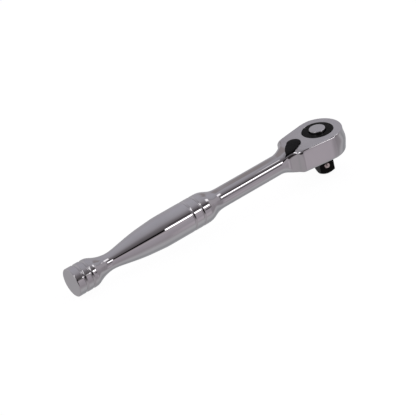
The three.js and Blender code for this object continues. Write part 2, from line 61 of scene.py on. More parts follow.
scene = bpy.context.scene

# ---------------------------------------------------------------- camera
cam_data = bpy.data.cameras.new("camera")
cam = bpy.data.objects.new("camera", cam_data)
scene.collection.objects.link(cam)
scene.camera = cam
cam_data.sensor_width = 36
cam_data.lens = 138.46
cam_data.clip_start = 0.05
cam_data.clip_end = 20
right = Vector((0.778747, -0.591542, -0.208882)).normalized()
up = Vector((0.448779, 0.292647, 0.844367)).normalized()
back = Vector((-0.438349, -0.75129, 0.493369)).normalized()
place = Matrix((
    (right.x, up.x, back.x, -0.497169),
    (right.y, up.y, back.y, -0.702266),
    (right.z, up.z, back.z, 0.480387),
    (0, 0, 0, 1),
))
cam.matrix_world = place
scene.view_settings.view_transform = "Standard"

# ---------------------------------------------------------------- dimensions
AXIS_Z = 21.2
HEAD_HALF = 7.5
HEAD_TOP = AXIS_Z + HEAD_HALF
HEAD_BOTTOM = AXIS_Z - HEAD_HALF
HEAD_R = 15.46
HEAD_EDGE = 1.4  # rounding of the head's top edge along its sides
NOSE_EDGE = 1.0  # and round the nose
LOW_EDGE = 1.4  # rounding of its bottom edge
CROWN = 0.28  # how far the head's sides draw in at their top and bottom
NOSE_SWELL = 0.6  # how far the nose swells out at mid height
SWELL_UP, SWELL_DOWN = 5.8, 7.2  # heights above and below the middle at which that swelling ends
CORNER = 2.2  # the corner between side and hollow is eased over this length each way
SHOULDER_X, SHOULDER_W = -23.48, 11.7
NECK_R, NECK_X = 6.6, -30.0
SHANK_R = 6.15
TAIL_X, TAIL_R = -184.54, 8.7
SQUARE_HALF = 4.76
SQUARE_TURN = math.radians(-14.4)
WELL_R, WELL_FLOOR = 5.3, 21.0
STEM_R = 1.9
BALL_R, BALL_OUT, BALL_TRAVEL, BALL_Z = 1.985, 3.95, 1.1, 5.7
BUTTON_R, BUTTON_TOP, STROKE = 5.05, 30.2, 1.7
LEVER_X, LEVER_TURN, LEVER_HUB_R = -18.9, math.radians(34), 4.45
LEVER_LOW, LEVER_HIGH = 28.78, 29.6
LEVER_SHAFT_R = 2.3
PAWL_X, PAWL_ROCK = -14.1, math.radians(7.8)
PLUNGER_R, PLUNGER_REACH, PLUNGER_Z = 0.8, 2.8, 22.2

# [x, half height, top edge rounding, bottom edge rounding]
NECK = [
    (-23.4, 7.5, 2.6, 1.4), (-24.3, 7.49, 2.9, 1.55), (-25.2, 7.47, 3.2, 1.7), (-26.6, 7.33, 3.6, 2.3), (-28.0, 7.05, 4.1, 3.2),
    (-29.5, 6.7, 4.7, 4.3), (-31.5, 6.33, 5.5, 5.5), (-34.0, 6.15, 6.15, 6.15),
]
HANDLE = [
    (-34.0, 6.15), (-76.5, 6.15), (-79.0, 6.2), (-81.0, 6.36), (-83.0, 6.74), (-84.8, 7.38), (-86.5, 8.12),
    (-88.0, 8.75), (-89.5, 9.22), (-91.5, 9.44), (-95.2, 9.5), (-103.3, 9.48), (-108.0, 9.49), (-118.5, 9.48),
    (-122.5, 9.42), (-126.5, 9.13), (-130.5, 8.8), (-134.5, 8.46), (-138.5, 7.97), (-142.5, 7.38), (-146.5, 6.68),
    (-150.5, 5.98), (-153.5, 5.44), (-156.5, 5.08), (-158.5, 5.0), (-161.5, 5.3), (-164.0, 5.82), (-166.5, 6.63),
    (-168.5, 7.51), (-170.0, 8.22), (-171.2, 8.62), (-173.0, 8.7), (-178.4, 8.7), (-184.54, 8.7),
]
# [where, depth, half width] of the rings cut round the grip and the knob
GROOVES = [(-96.0, 0.52, 0.95), (-102.6, 0.53, 0.9), (-174.5, 0.66, 0.95), (-179.2, 0.75, 1.0)]


def pchip(rows, x, column=1):
    pts = sorted((r[0], r[column]) for r in rows)
    xs, ys = np.array(pts, float).T
    h = np.diff(xs)
    d = np.diff(ys) / h
    m = np.zeros_like(ys)
    for i in range(1, len(xs) - 1):
        if d[i - 1] * d[i] > 0:
            a, b = 2 * h[i] + h[i - 1], h[i] + 2 * h[i - 1]
            m[i] = (a + b) / (a / d[i - 1] + b / d[i])
    x = np.asarray(x, float)
    i = np.clip(np.searchsorted(xs, x) - 1, 0, len(h) - 1)
    t = np.clip((x - xs[i]) / h[i], 0, 1)
    return (
        (1 + 2 * t) * (1 - t) ** 2 * ys[i] + t * (1 - t) ** 2 * h[i] * m[i]
        + t * t * (3 - 2 * t) * ys[i + 1] + t * t * (t - 1) * h[i] * m[i + 1]
    )


# ---------------------------------------------------------------- mesh helpers (millimetres until ready())
def from_data(name, verts, faces):
    me = bpy.data.meshes.new(name)
    me.from_pydata([tuple(map(float, v)) for v in verts], [], [tuple(map(int, f)) for f in faces])
    me.update()
    ob = bpy.data.objects.new(name, me)
    scene.collection.objects.link(ob)
    return ob


def tidy(ob, distance=1e-4):
    bm = bmesh.new()
    bm.from_mesh(ob.data)
    bmesh.ops.remove_doubles(bm, verts=bm.verts, dist=distance)
    bmesh.ops.dissolve_degenerate(bm, dist=distance * 0.5, edges=bm.edges)
    bmesh.ops.recalc_face_normals(bm, faces=bm.faces)
    bm.to_mesh(ob.data)
    bm.free()
    return ob


def boolean(ob, cutter, operation="DIFFERENCE", solver="EXACT"):
    mod = ob.modifiers.new("cut", "BOOLEAN")
    mod.operation = operation
    mod.solver = solver
    mod.object = cutter
    bpy.context.view_layer.update()
    dg = bpy.context.evaluated_depsgraph_get()
    me = bpy.data.meshes.new_from_object(ob.evaluated_get(dg))
    ob.modifiers.clear()
    old = ob.data
    ob.data = me
    bpy.data.meshes.remove(old)
    bpy.data.objects.remove(cutter)
    return ob


def lathe(name, profile, segments=96, cx=0.0, cy=0.0, z0=0.0):
    """A solid turned about a vertical axis from its profile of (radius, height), which closes on itself or ends on the axis."""
    closed = profile[0] == profile[-1]
    pts = profile[:-1] if closed else profile
    verts, rows = [], []
    for r, z in pts:
        if r < 1e-9:
            rows.append([len(verts)] * segments)
            verts.append((cx, cy, z + z0))
        else:
            rows.append(list(range(len(verts), len(verts) + segments)))
            verts += [
                (cx + r * math.cos(2 * math.pi * k / segments), cy + r * math.sin(2 * math.pi * k / segments), z + z0)
                for k in range(segments)
            ]
    faces = []
    for i in range(len(rows) if closed else len(rows) - 1):
        a, b = rows[i], rows[(i + 1) % len(rows)]
        for k in range(segments):
            f = [a[k], a[(k + 1) % segments], b[(k + 1) % segments], b[k]]
            f = [v for j, v in enumerate(f) if v not in f[:j]]
            if len(f) > 2:
                faces.append(f)
    return tidy(from_data(name, verts, faces))


def rounded(profile, radius, steps=4):
    """A profile with its inner corners replaced by arcs. radius is one number or one for each inner point."""
    out = [profile[0]]
    for i in range(1, len(profile) - 1):
        r = radius if isinstance(radius, (int, float)) else radius[i - 1]
        p, a, b = (np.array(q, float) for q in (profile[i], profile[i - 1], profile[i + 1]))
        u, v = a - p, b - p
        lu, lv = np.linalg.norm(u), np.linalg.norm(v)
        u, v = u / lu, v / lv
        angle = math.acos(float(np.clip(u @ v, -1, 1)))
        if r <= 0 or angle > math.radians(170):
            out.append(tuple(p))
            continue
        cut = min(r / math.tan(angle / 2), lu * 0.48, lv * 0.48)
        r = cut * math.tan(angle / 2)
        centre = p + (u + v) / np.linalg.norm(u + v) * (r / math.sin(angle / 2))
        s, e = p + u * cut - centre, p + v * cut - centre
        sweep = math.acos(float(np.clip(s @ e / (r * r), -1, 1)))
        for k in range(steps + 1):
            t = k / steps
            q = (s * math.sin((1 - t) * sweep) + e * math.sin(t * sweep)) / math.sin(sweep)
            out.append(tuple(centre + q))
    out.append(profile[-1])
    return out


def ring(name, profile, radius=0.1, segments=96, cx=0.0, cy=0.0, steps=3):
    """A turned ring from a closed profile with rounded corners."""
    p = profile[:-1] if profile[0] == profile[-1] else profile
    r = rounded([p[-1], *p, p[0]], radius, steps)[1:-1]
    return lathe(name, [*r, r[0]], segments, cx, cy)


def prism(name, outline, z0, z1, bevel=0.0, segments=2):
    bm = bmesh.new()
    low = [bm.verts.new((x, y, z0)) for x, y in outline]
    high = [bm.verts.new((x, y, z1)) for x, y in outline]
    n = len(outline)
    bm.faces.new(low[::-1])
    bm.faces.new(high)
    for i in range(n):
        bm.faces.new((low[i], low[(i + 1) % n], high[(i + 1) % n], high[i]))
    bmesh.ops.recalc_face_normals(bm, faces=bm.faces)
    if bevel:
        edges = [e for e in bm.edges if len(e.link_faces) == 2 and e.calc_face_angle() > math.radians(40)]
        bmesh.ops.bevel(bm, geom=edges, offset=bevel, segments=segments, affect="EDGES", profile=0.5, clamp_overlap=True)
    bmesh.ops.recalc_face_normals(bm, faces=bm.faces)
    me = bpy.data.meshes.new(name)
    bm.to_mesh(me)
    bm.free()
    ob = bpy.data.objects.new(name, me)
    scene.collection.objects.link(ob)
    return tidy(ob)


def tube(name, points, radius, sides=12):
    """A round wire along points, with capped ends."""
    p = np.array(points, float)
    t = np.gradient(p, axis=0)
    t /= np.linalg.norm(t, axis=1)[:, None]
    n = np.cross(t[0], (0, 0, 1.0))
    if np.linalg.norm(n) < 1e-6:
        n = np.cross(t[0], (0, 1.0, 0))
    verts, faces = [], []
    for i in range(len(p)):
        n = n - t[i] * (n @ t[i])
        n /= np.linalg.norm(n)
        b = np.cross(t[i], n)
        for k in range(sides):
            a = 2 * math.pi * k / sides
            verts.append(p[i] + radius * (math.cos(a) * n + math.sin(a) * b))
    for i in range(len(p) - 1):
        for k in range(sides):
            a, b = i * sides + k, i * sides + (k + 1) % sides
            faces.append((a, b, b + sides, a + sides))
    for base, end in ((0, p[0] - t[0] * radius * 0.25), ((len(p) - 1) * sides, p[-1] + t[-1] * radius * 0.25)):
        c = len(verts)
        verts.append(end)
        for k in range(sides):
            faces.append((c, base + k, base + (k + 1) % sides))
    return tidy(from_data(name, verts, faces), 1e-5)


def turned_about(points, cx, cy, angle):
    c, s = math.cos(angle), math.sin(angle)
    return [(cx + (x - cx) * c - (y - cy) * s, cy + (x - cx) * s + (y - cy) * c) for x, y in points]


def arc(cx, cy, r, start, end, n):
    return [(cx + r * math.cos(start + (end - start) * i / n), cy + r * math.sin(start + (end - start) * i / n)) for i in range(n + 1)]


def turn(ob, matrix):
    ob.data.transform(matrix)
    return ob


def ready(ob, material, body, node, sharp=32):
    """Scales the piece to metres, shades it, and puts it in the place of its CAD node."""
    ob.data.transform(Matrix.Scale(0.001, 4))
    me = ob.data
    me.materials.clear()
    me.materials.append(material)
    me.polygons.foreach_set("use_smooth", [True] * len(me.polygons))
    me.set_sharp_from_angle(angle=math.radians(sharp))
    me.update()
    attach(ob, body)
    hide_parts(node)
    return ob


# ---------------------------------------------------------------- materials
def material(name, metallic, specular=0.5):
    m = bpy.data.materials.new(name)
    m.use_nodes = True
    nt = m.node_tree
    bsdf = nt.nodes["Principled BSDF"]
    bsdf.inputs["Metallic"].default_value = metallic
    bsdf.inputs["Specular IOR Level"].default_value = specular
    coord = nt.nodes.new("ShaderNodeTexCoord")
    return m, nt, bsdf, coord.outputs["Object"]


def noise(nt, vector, scale, detail=3.0, rough=0.5, stretch=None):
    if stretch:
        mp = nt.nodes.new("ShaderNodeMapping")
        mp.inputs["Scale"].default_value = stretch
        nt.links.new(vector, mp.inputs["Vector"])
        vector = mp.outputs["Vector"]
    n = nt.nodes.new("ShaderNodeTexNoise")
    n.inputs["Scale"].default_value = scale
    n.inputs["Detail"].default_value = detail
    n.inputs["Roughness"].default_value = rough
    nt.links.new(vector, n.inputs["Vector"])
    return n.outputs["Fac"]


def ramp(nt, fac, stops):
    r = nt.nodes.new("ShaderNodeValToRGB")
    e = r.color_ramp.elements
    while len(e) > 1:
        e.remove(e[-1])
    e[0].position, e[0].color = stops[0][0], (*stops[0][1], 1)
    for p, c in stops[1:]:
        s = e.new(p)
        s.color = (*c, 1)
    if fac is not None:
        nt.links.new(fac, r.inputs["Fac"])
    return r.outputs["Color"]


def spread(nt, fac, low, high, a=0.3, b=0.7):
    m = nt.nodes.new("ShaderNodeMapRange")
    m.inputs["From Min"].default_value = a
    m.inputs["From Max"].default_value = b
    m.inputs["To Min"].default_value = low
    m.inputs["To Max"].default_value = high
    nt.links.new(fac, m.inputs["Value"])
    return m.outputs["Result"]


def bump(nt, bsdf, parts):
    """parts: (height output, height in metres) one on top of the other."""
    before = None
    for height, depth in parts:
        b = nt.nodes.new("ShaderNodeBump")
        b.inputs["Strength"].default_value = 1.0
        b.inputs["Distance"].default_value = depth
        nt.links.new(height, b.inputs["Height"])
        if before is not None:
            nt.links.new(before, b.inputs["Normal"])
        before = b.outputs["Normal"]
    nt.links.new(before, bsdf.inputs["Normal"])


def chrome(satin=0.0):
    m, nt, bsdf, co = material("chrome_plate", 1.0)
    cloud = noise(nt, co, 55, 3, 0.55)
    nt.links.new(ramp(nt, cloud, [(0.3, (0.665, 0.66, 0.67)), (0.55, (0.70, 0.695, 0.70)), (0.75, (0.725, 0.72, 0.73))]), bsdf.inputs["Base Color"])
    smear = noise(nt, co, 260, 4, 0.6, (0.35, 1, 1))
    polish = spread(nt, smear, 0.018, 0.06)
    if satin:
        # the head's flat top is finished a little duller than the rest, so no one thing in the room fills it
        flat = nt.nodes.new("ShaderNodeSeparateXYZ")
        nt.links.new(nt.nodes.new("ShaderNodeNewGeometry").outputs["Normal"], flat.inputs[0])
        place = nt.nodes.new("ShaderNodeSeparateXYZ")
        nt.links.new(co, place.inputs[0])
        share = nt.nodes.new("ShaderNodeMath")
        share.operation = "MULTIPLY"
        nt.links.new(spread(nt, flat.outputs["Z"], 0.0, satin, 0.988, 0.998), share.inputs[0])
        nt.links.new(spread(nt, place.outputs["X"], 0.0, 1.0, -0.026, -0.021), share.inputs[1])
        total = nt.nodes.new("ShaderNodeMath")
        total.operation = "ADD"
        nt.links.new(polish, total.inputs[0])
        nt.links.new(share.outputs[0], total.inputs[1])
        polish = total.outputs[0]
    nt.links.new(polish, bsdf.inputs["Roughness"])
    wave = noise(nt, co, 90, 2, 0.45, (0.5, 1, 1))
    fine = noise(nt, co, 2600, 3, 0.6, (0.15, 1, 1))
    bump(nt, bsdf, [(wave, 0.00003), (fine, 0.0000008)])
    return m


def black_oxide():
    m, nt, bsdf, co = material("black_oxide", 0.0, 0.08)
    cloud = noise(nt, co, 240, 4, 0.6)
    nt.links.new(ramp(nt, cloud, [(0.3, (0.0045, 0.0043, 0.0042)), (0.6, (0.0075, 0.0071, 0.0068)), (0.8, (0.012, 0.011, 0.0105))]), bsdf.inputs["Base Color"])
    nt.links.new(spread(nt, noise(nt, co, 900, 3, 0.6), 0.3, 0.46), bsdf.inputs["Roughness"])
    bump(nt, bsdf, [(noise(nt, co, 3800, 3, 0.65), 0.000006), (noise(nt, co, 500, 2, 0.5), 0.00001)])
    return m


def bright_steel(name="bright_steel", tone=0.55, rough=(0.14, 0.26)):
    m, nt, bsdf, co = material(name, 1.0)
    cloud = noise(nt, co, 300, 3, 0.6)
    nt.links.new(ramp(nt, cloud, [(0.3, (tone * 0.9, tone * 0.89, tone * 0.88)), (0.7, (tone * 1.08, tone * 1.06, tone * 1.05))]), bsdf.inputs["Base Color"])
    lines = noise(nt, co, 1400, 3, 0.6, (1, 1, 6))
    nt.links.new(spread(nt, lines, *rough), bsdf.inputs["Roughness"])
    bump(nt, bsdf, [(lines, 0.0000035)])
    return m


def rubber():
    m, nt, bsdf, co = material("seal_rubber", 0.0, 0.35)
    cloud = noise(nt, co, 500, 3, 0.6)
    nt.links.new(ramp(nt, cloud, [(0.3, (0.008, 0.008, 0.008)), (0.7, (0.017, 0.017, 0.0165))]), bsdf.inputs["Base Color"])
    nt.links.new(spread(nt, cloud, 0.6, 0.82), bsdf.inputs["Roughness"])
    bump(nt, bsdf, [(noise(nt, co, 5000, 2, 0.5), 0.000008)])
    return m


CHROME = chrome(0.3)
BLACK = black_oxide()
BRIGHT = bright_steel()
BALL = bright_steel("polished_ball_steel", 0.78, (0.2, 0.3))
BALL.node_tree.nodes["Principled BSDF"].inputs["Metallic"].default_value = 0.55
for stop in BALL.node_tree.nodes["Color Ramp"].color_ramp.elements:  # painted reflection: the ball's base colour is warmed to stand for a warm floor below showing in it
    stop.color = (stop.color[0] * 1.08, stop.color[1] * 0.95, stop.color[2] * 0.91, 1)
SPRING = bright_steel("spring_steel", 0.33, (0.2, 0.34))
RUBBER = rubber()


# ---------------------------------------------------------------- the forged body
def plan_outline():
    """Half width of the head and neck along X, as a dense line from the round nose's end to the shank."""
    pts = [(-2.58, 15.243)]
    d = np.array([SHOULDER_X + 2.58, SHOULDER_W - 15.243])
    length = np.hypot(*d)
    d /= length
    a0 = math.acos((SHOULDER_X - NECK_X) / NECK_R)  # where the hollow starts
    hollow = lambda a: (NECK_X + NECK_R * math.cos(a), SHANK_R + NECK_R - NECK_R * math.sin(a))
    soft = CORNER
    for s in np.concatenate([np.linspace(2.0, length - 3, 10), np.linspace(length - 2.5, length - soft, 5)]):
        pts.append((-2.58 + d[0] * s, 15.243 + d[1] * s))
    start = np.array(pts[-1])
    corner = np.array([SHOULDER_X, SHOULDER_W])
    stop = np.array(hollow(a0 + soft / NECK_R))
    for t in np.linspace(0, 1, 9)[1:]:
        pts.append(tuple((1 - t) ** 2 * start + 2 * t * (1 - t) * corner + t * t * stop))
    for a in np.linspace(a0 + soft / NECK_R, math.pi / 2, 34)[1:]:
        pts.append(hollow(a))
    for x in np.linspace(NECK_X, -34.0, 9)[1:]:
        pts.append((x, SHANK_R))
    return np.array(pts)


TOP_N = [0, 0.12, 0.24, 0.36, 0.48, 0.6, 0.7, 0.79, 0.87, 0.93, 0.97, 0.993, 1]
SIDE_N = [0.008, 0.05, 0.16, 0.32, 0.5, 0.68, 0.84, 1]
ARC_N = 12


def eased(t):
    t = min(max(t, 0.0), 1.0)
    return t * t * (3 - 2 * t)


def section(w, h, c, round_, distance=None, crown=0.0, swell=(0.0, 1.0)):
    """Quarter section from the top's middle to the side's middle, as (lateral, height)."""
    if distance is None:
        lateral = lambda d: w - d
    else:
        across, depths = distance
        lateral = lambda d: float(np.interp(-d, -depths, across))
    on_arc = lambda b: (lateral(c * (1 - math.sin(b))), h - c + c * math.cos(b))
    flat = lateral(c)
    b0 = round_ * math.radians(30)
    b1 = math.pi / 2 - b0
    pts = []
    total = flat + c * b0
    for t in TOP_N:
        s = total * t
        pts.append((s, h) if s <= flat else on_arc((s - flat) / c))
    for i in range(1, ARC_N + 1):
        pts.append(on_arc(b0 + (b1 - b0) * i / ARC_N))
    rest = c * (math.pi / 2 - b1)
    side = rest + h - c
    for t in SIDE_N:
        s = side * t
        pts.append(on_arc(b1 + s / c) if s < rest else (w, h - c - (s - rest)))
    k, end = swell
    out = lambda z: k * (NOSE_SWELL - (NOSE_SWELL + crown) * eased(z / end)) - (1 - k) * crown * (z / h) ** 2
    return [(s + out(z) * min(1.0, max(0.0, s / max(w, 1e-6))) ** 4, z) for s, z in pts]


def loop(upper, lower, plus, minus):
    half = upper + [(s, -z) for s, z in lower[:-1][::-1]]
    return [plus(s, z) for s, z in half] + [minus(s, z) for s, z in half[1:-1][::-1]]


def forged_body():
    loops = []
    for i in range(49):
        a = math.pi / 2 * (1 - i / 48)
        c, s = math.cos(a), math.sin(a)
        k = eased(a / math.radians(50))
        edge = HEAD_EDGE + (NOSE_EDGE - HEAD_EDGE) * eased(a / math.radians(20))
        upper = section(HEAD_R, HEAD_HALF, edge, 0, crown=CROWN, swell=(k, SWELL_UP))
        lower = section(HEAD_R, HEAD_HALF, LOW_EDGE, 0, crown=CROWN, swell=(k, SWELL_DOWN))
        loops.append(loop(upper, lower, lambda r, z: (r * s, r * c, z), lambda r, z: (r * s, -r * c, z)))
    outline = plan_outline()
    # the hollow's outline, to measure how far a point on a section lies inside the wall
    line = [(p, q) for p, q in zip(outline[:-1], outline[1:])]
    P = np.array([p for p, _ in line])
    Q = np.array([q for _, q in line])

    def depth(x, s):
        pts = np.stack([np.full_like(s, x), s], 1)[:, None, :]
        d = Q - P
        t = np.clip(((pts - P) * d).sum(2) / (d * d).sum(1), 0, 1)
        return np.linalg.norm(pts - (P + t[..., None] * d), axis=2).min(1)

    for x, w in outline:
        h, top, low = (float(pchip(NECK, x, k)) for k in (1, 2, 3))
        if x > -23.4:
            h, top, low = HEAD_HALF, HEAD_EDGE + 1.2 * eased(1 - (x + 23.4) / 4.5), LOW_EDGE
        round_ = min(max((low - LOW_EDGE) / (SHANK_R - LOW_EDGE), 0), 1)
        crown = CROWN * (1 - round_) ** 2
        if x > SHOULDER_X + 3 or x < NECK_X + 0.5:
            distance = None
        else:
            s = np.linspace(0, w, 500)
            ds = np.minimum.accumulate(depth(x, s))
            distance = (s, np.clip(ds, 0, None) - 1e-9 * np.arange(500))
        upper, lower = (section(w, h, min(c, w, h), round_, distance, crown) for c in (top, low))
        loops.append(loop(upper, lower, lambda s, z: (x, s, z), lambda s, z: (x, -s, z)))
    # the turned handle
    xs = np.arange(-34.25, TAIL_X + 0.001, -0.28)
    fine = np.arange(-33.0, TAIL_X - 3, -0.1)
    base = pchip([(-20.0, 6.15), *HANDLE, (-190.0, 8.7)], fine)
    width = 0.9
    k = np.exp(-0.5 * (np.arange(-30, 31) * 0.1 / width) ** 2)
    k /= k.sum()
    smooth = np.convolve(np.pad(base, 30, mode="edge"), k, mode="valid")
    radius = lambda x: float(np.interp(-x, -fine, smooth))
    stations = set(np.round(xs, 3))
    for g, deep, half in GROOVES:
        stations |= set(np.round(np.linspace(g - half, g + half, 25), 3))
    stations = sorted((x for x in stations if x > TAIL_X + 0.95), reverse=True)
    profile = []
    for x in stations:
        r = min(radius(x), 9.5)
        for g, deep, half in GROOVES:
            t = abs(x - g) / half
            if t < 1:
                r -= deep * 0.5 * (1 + math.cos(math.pi * t))
        profile.append((x, r))
    edge = 0.65
    for b in np.linspace(0, math.pi / 2, 11):
        profile.append((TAIL_X + edge - edge * math.sin(b), TAIL_R - edge + edge * math.cos(b)))
    for r in (TAIL_R - edge - 0.12, 6.2, 4.2, 2.1):
        profile.append((TAIL_X, r))
    for x, r in profile:
        q = section(r, r, r, 1)
        loops.append(loop(q, q, lambda s, z: (x, s, z), lambda s, z: (x, -s, z)))
    n = len(loops[0])
    verts = np.array([p for l in loops for p in l])
    verts = np.vstack([verts, [[TAIL_X, 0, 0]]])
    verts[:, 2] += AXIS_Z
    faces = []
    for j in range(len(loops) - 1):
        for i in range(n):
            k2 = (i + 1) % n
            faces.append((j * n + i, (j + 1) * n + i, (j + 1) * n + k2, j * n + k2))
    last = (len(loops) - 1) * n
    for i in range(n):
        faces.append((last + i, len(verts) - 1, last + (i + 1) % n))
    ob = from_data("forged_body_fine", verts, faces)
    tidy(ob, 2e-4)
    cutters = [
        lathe("c", [(0, HEAD_BOTTOM - 2), (12.15, HEAD_BOTTOM - 2), (12.15, HEAD_BOTTOM), (11.75, HEAD_BOTTOM + 0.4), (11.75, 26.0), (0, 26.0)], 144),
        lathe("c", [(0, 24.8), (9.85, 24.8), (9.85, HEAD_TOP - 0.18), (10.03, HEAD_TOP), (10.03, HEAD_TOP + 2), (0, HEAD_TOP + 2)], 144),
        lathe("c", [(11.15, 15.5), (12.4, 15.5), (12.4, 16.8), (11.15, 16.8), (11.15, 15.5)], 144),
        prism("c", [(-6, 9.6), (-8.4, 10.9), (-13.7, 10.9), (-17.5, 6.6), (-17.5, -6.6), (-13.7, -10.9), (-8.4, -10.9), (-6, -9.6)], 18.9, 25.4),
        lathe("c", [(0, 18.9), (3.15, 18.9), (3.15, 25.4), (0, 25.4)], 64, LEVER_X),
        lathe("c", [(0, HEAD_BOTTOM - 2), (2.38, HEAD_BOTTOM - 2), (2.38, HEAD_TOP + 2), (0, HEAD_TOP + 2)], 64, LEVER_X),
        lathe("c", [(0, HEAD_BOTTOM - 2), (4.3, HEAD_BOTTOM - 2), (4.3, HEAD_BOTTOM), (4.1, HEAD_BOTTOM + 0.2), (4.1, 15.6), (0, 15.6)], 96, LEVER_X),
        lathe("c", [(0, HEAD_BOTTOM - 2), (1.03, HEAD_BOTTOM - 2), (1.03, 26.9), (0, 26.9)], 48, PAWL_X),
    ]
    for c in cutters:
        boolean(ob, c, solver="MANIFOLD")
    return tidy(ob, 1e-4)


ready(forged_body(), CHROME, "body", "forged_body", 34)


# ---------------------------------------------------------------- the drive
def drive():
    teeth = []
    step = 2 * math.pi / 36
    for i in range(36):
        a = math.pi + i * step
        for r, t in ((10.2, -4), (11.3, -1), (11.3, 1), (10.2, 4)):
            teeth.append((r * math.cos(a + math.radians(t)), r * math.sin(a + math.radians(t))))
    ob = prism("drive_gear_fine", teeth, 18.9, 25.8, 0.07, 2)
    outer = rounded(
        [(0, 11), (8.1, 11), (8.1, 20.2), (9.7, 20.2), (9.7, 26.95), (8.8, 26.95), (8.8, 27.95), (9.7, 27.95), (9.7, 28.45), (0, 28.45)],
        [0.4, 0, 0, 0.08, 0.1, 0.1, 0.08, 0.28], 5,
    )
    boolean(ob, lathe("c", outer, 144), "UNION")
    h, r = SQUARE_HALF, 0.45
    square = []
    for x, y, a in ((h - r, h - r, 0), (r - h, h - r, 90), (r - h, r - h, 180), (h - r, r - h, 270)):
        square += arc(x, y, r, math.radians(a), math.radians(a + 90), 8)
    stub = prism("c", turned_about(square, 0, 0, SQUARE_TURN), -0.5, 12)
    tip = rounded([(0, 0), (4.1, 0), (7.6, 2.3), (7.6, 13), (0, 13)], [0.35, 0.9, 0], 5)
    boolean(stub, lathe("c", tip, 192), "INTERSECT")
    boolean(ob, stub, "UNION")
    well = rounded([(0, 2.2), (2.0, 2.2), (2.0, 21.0), (5.3, 21.0), (5.3, 28.15), (5.6, 28.45), (5.6, 29.6), (0, 29.6)], [0.2, 0.15, 0.2, 0, 0, 0], 3)
    boolean(ob, lathe("c", well, 96))
    hole = lathe("c", [(0, 0), (BALL_R + 0.055, 0), (BALL_R + 0.055, 8), (0, 8)], 64)
    turn(hole, Matrix.Translation((0, 0, BALL_Z)) @ Matrix.Rotation(SQUARE_TURN, 4, "Z") @ Matrix.Rotation(math.radians(90), 4, "X"))
    boolean(ob, hole)
    return tidy(ob, 1e-4)


ready(drive(), BLACK, "drive", "drive_gear", 30)

ball = bpy.data.meshes.new("detent_ball_fine")
bm = bmesh.new()
bmesh.ops.create_icosphere(bm, subdivisions=5, radius=BALL_R)
bm.to_mesh(ball)
bm.free()
ball = bpy.data.objects.new("detent_ball_fine", ball)
scene.collection.objects.link(ball)
turn(ball, Matrix.Translation((math.sin(SQUARE_TURN) * BALL_OUT, -math.cos(SQUARE_TURN) * BALL_OUT, BALL_Z)))
ready(ball, BALL, "detent", "detent_ball", 180)

# Button: a shallow dome on top, a rounded rim and a blind bore for the stem.
rim = [(BUTTON_R - 0.55 + 0.55 * math.cos(a), BUTTON_TOP - 0.12 - 0.55 + 0.55 * math.sin(a)) for a in np.linspace(0, math.pi / 2 - 0.06, 9)]
top = [(r, BUTTON_TOP - 0.12 * (r / (BUTTON_R - 0.55)) ** 2) for r in (3.9, 3.2, 2.4, 1.6, 0.8, 0.0)]
cap = [(0.0, 28.0), (1.3, 28.0), (1.3, 26.35), (1.45, 26.2), (4.8, 26.2), (5.05, 26.45), *rim, *top]
ready(lathe("release_button_cap_fine", cap, 128), CHROME, "release_button", "release_button_cap", 40)

gx, gz, gr = BALL_OUT - BALL_TRAVEL, BALL_Z + STROKE, BALL_R + 0.065
waist = [(gx + gr * math.cos(a), gz + gr * math.sin(a)) for a in np.radians(np.arange(244, 116, -4.0))]
waist = [p for p in waist if p[0] < STEM_R - 0.01 and 5.2 < p[1] < gz + math.sqrt(gr * gr - (gx - STEM_R) ** 2)]
stem = [(0, 4.2), (1.6, 4.2), (1.9, 4.5), (1.9, 5.1), *waist, (1.9, gz + math.sqrt(gr * gr - (gx - STEM_R) ** 2)), (1.9, 26.15), (1.25, 26.15), (1.25, 27.9), (0, 27.9)]
ready(lathe("release_stem_fine", [(float(r), float(z)) for r, z in stem], 64), BRIGHT, "release_button", "release_stem", 35)


def coil_height(turns, ends, t):
    """Height share along a spring whose end turns lie close."""
    u = np.clip(t * turns, 0, turns)
    rise = lambda v: np.where(v < 1, v * ends, np.where(v > turns - 1, 1 - (turns - v) * ends, ends + (v - 1) * (1 - 2 * ends) / (turns - 2)))
    s = rise(u)
    return s


t = np.linspace(0, 1, 241)
z = coil_height(5, 0.14, t)
k = np.ones(17) / 17
z = np.convolve(np.pad(z, 8, mode="edge"), k, mode="valid")
z = (z - z[0]) / (z[-1] - z[0])
a = t * 5 * 2 * math.pi
low, high = WELL_FLOOR + 0.06 + 0.3, 26.14 - 0.3
spring = tube("release_spring_fine", np.stack([3.4 * np.cos(a), 3.4 * np.sin(a), low + (high - low) * z], 1), 0.3, 12)
ready(spring, SPRING, "drive", "release_spring", 50)
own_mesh(spring)


def torus(name, major, minor, cx, z):
    p = [(major + minor * math.cos(a), z + minor * math.sin(a)) for a in np.linspace(0, 2 * math.pi, 21)[:-1]]
    return lathe(name, [*p, p[0]], 96, cx)


ready(torus("gear_o_ring_fine", 9.3, 0.44, 0.0, 27.45), RUBBER, "drive", "gear_o_ring", 180)

